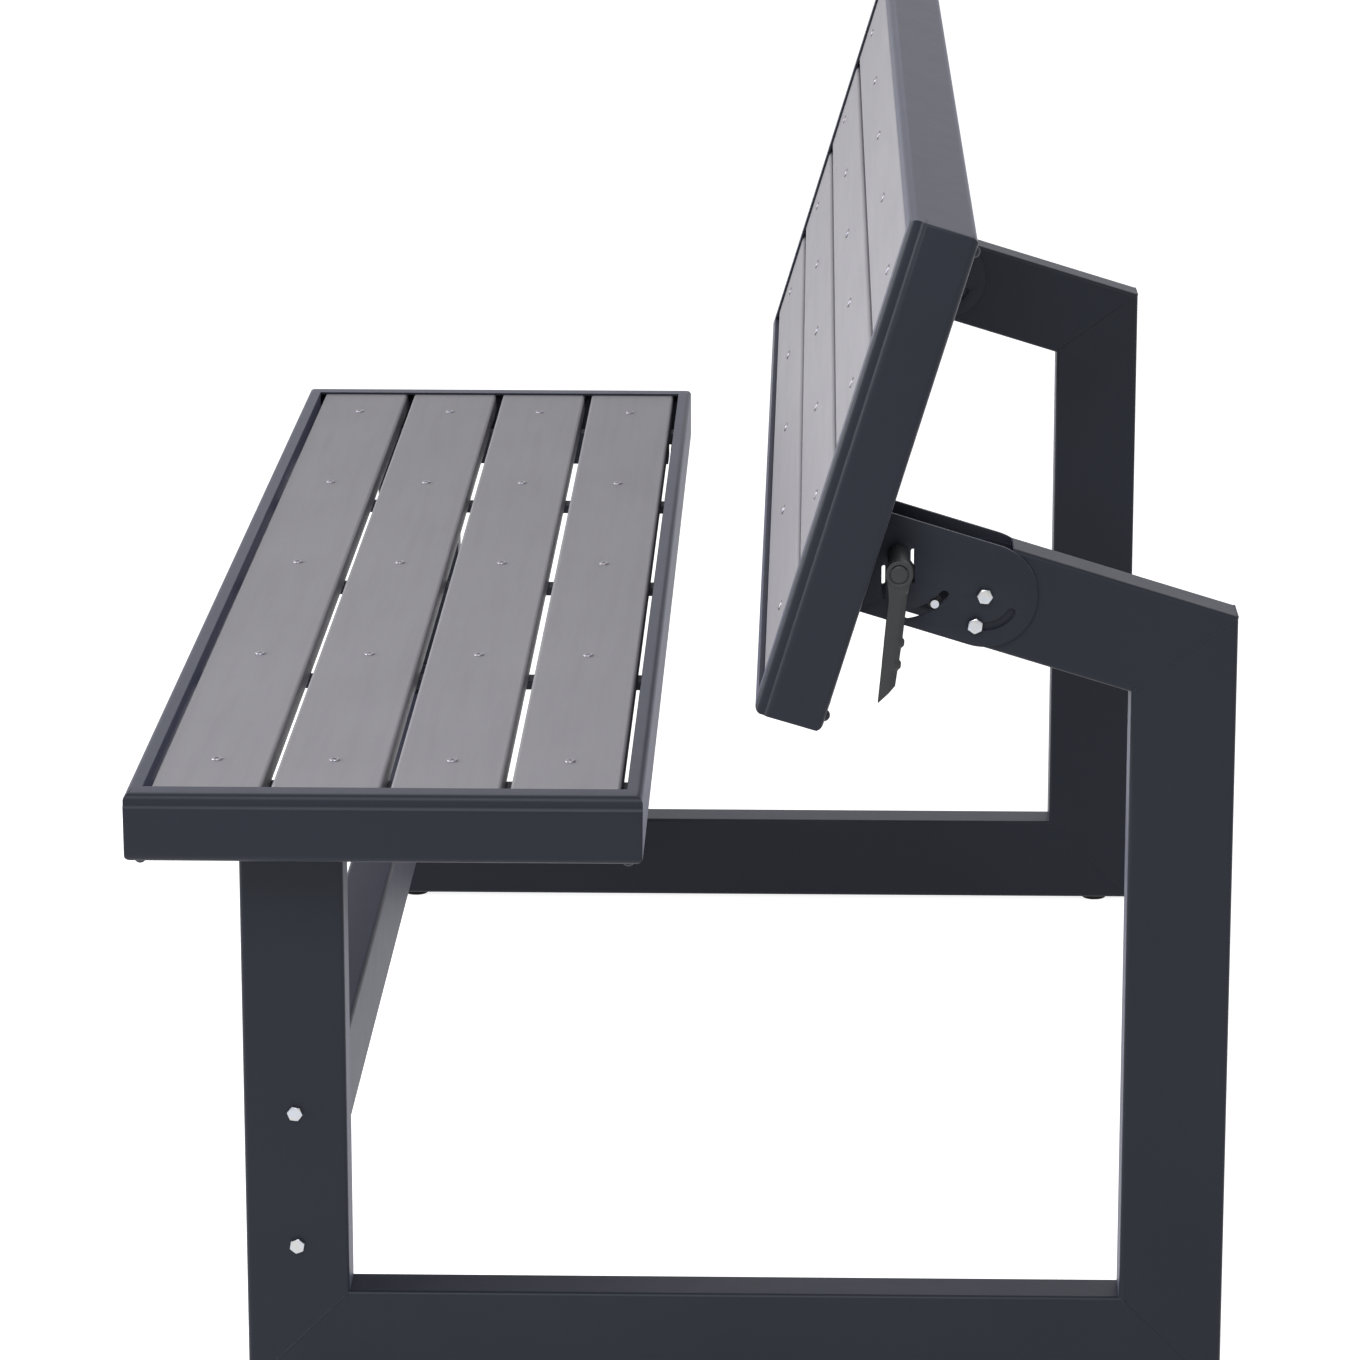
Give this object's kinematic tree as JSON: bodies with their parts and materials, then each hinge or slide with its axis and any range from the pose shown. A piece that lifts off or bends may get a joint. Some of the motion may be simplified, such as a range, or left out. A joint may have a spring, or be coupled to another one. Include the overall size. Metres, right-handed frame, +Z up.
{
  "type": "convertible picnic table bench",
  "caption": "Slatted metal-framed garden bench on loop side frames; its backrest turns on two latched hinges to become a level table top.",
  "frame": {"origin": "on the ground, under the middle of the bench with its backrest up", "axes": "+X along the bench to a sitter's left, -Y to the sitter's front, +Z up"},
  "size_m": [1.4, 0.786, 0.8874],
  "materials": {
    "powder_coat": "satin blue-grey powder coat",
    "slat": "light grey composite with a faint wood grain",
    "zinc": "bright zinc plate",
    "lever_plastic": "black, fine matte texture",
    "foot_rubber": "matte black",
    "spring_steel": "bright drawn wire"
  },
  "bodies": {
    "base": {"left_front_leg": "powder_coat", "right_front_leg": "powder_coat", "left_ground_rail": "powder_coat", "right_ground_rail": "powder_coat", "left_rear_upright": "powder_coat", "right_rear_upright": "powder_coat", "left_arm": "powder_coat", "right_arm": "powder_coat", "stretcher": "powder_coat", "stretcher_flanges": "powder_coat", "leg_bolts": "zinc", "leg_nuts": "zinc", "feet": "foot_rubber", "foot_inserts": "foot_rubber", "seat_front_rail": "powder_coat", "seat_rear_rail": "powder_coat", "seat_left_end": "powder_coat", "seat_right_end": "powder_coat", "seat_crossbars": "powder_coat", "seat_bearers": "powder_coat", "seat_bolts": "zinc", "seat_nuts": "zinc", "seat_slat_1": "slat", "seat_slat_2": "slat", "seat_slat_3": "slat", "seat_slat_4": "slat", "seat_slat_screws": "zinc", "seat_gussets": "powder_coat", "seat_corner_screws": "powder_coat", "pivot_bolts": "zinc", "pivot_sleeves": "zinc", "stop_bolts": "zinc", "stop_sleeves": "zinc", "hinge_nuts": "zinc"},
    "table_top": {"top_lower_rail": "powder_coat", "top_upper_rail": "powder_coat", "top_left_end": "powder_coat", "top_right_end": "powder_coat", "top_crossbars": "powder_coat", "top_bearers": "powder_coat", "top_slat_1": "slat", "top_slat_2": "slat", "top_slat_3": "slat", "top_slat_4": "slat", "top_slat_screws": "zinc", "top_gussets": "powder_coat", "top_corner_screws": "powder_coat", "left_hinge_bracket": "powder_coat", "right_hinge_bracket": "powder_coat", "bracket_bolts": "zinc"},
    "left_latch": {"left_latch_lever": "lever_plastic", "left_lever_cap": "lever_plastic", "left_latch_shaft": "zinc", "left_latch_pin": "zinc", "left_latch_spring": "spring_steel"},
    "right_latch": {"right_latch_lever": "lever_plastic", "right_lever_cap": "lever_plastic", "right_latch_shaft": "zinc", "right_latch_pin": "zinc", "right_latch_spring": "spring_steel"}
  },
  "joints": [
    {"name": "top_fold", "type": "hinge", "parent": "base", "child": "table_top", "pos_m": [0, 0.213, 0.609], "axis": [-1, 0, 0], "range_deg": [0, 73]},
    {"name": "left_latch_turn", "type": "hinge", "parent": "table_top", "child": "left_latch", "pos_m": [0.61, 0.15143, 0.63849], "axis": [-1, 0, 0], "range_deg": [-11, 16], "stiffness_Nm_per_rad": 0.6},
    {"name": "right_latch_turn", "type": "hinge", "parent": "table_top", "child": "right_latch", "pos_m": [-0.61, 0.15143, 0.63849], "axis": [-1, 0, 0], "range_deg": [-11, 16], "stiffness_Nm_per_rad": 0.6}
  ]
}
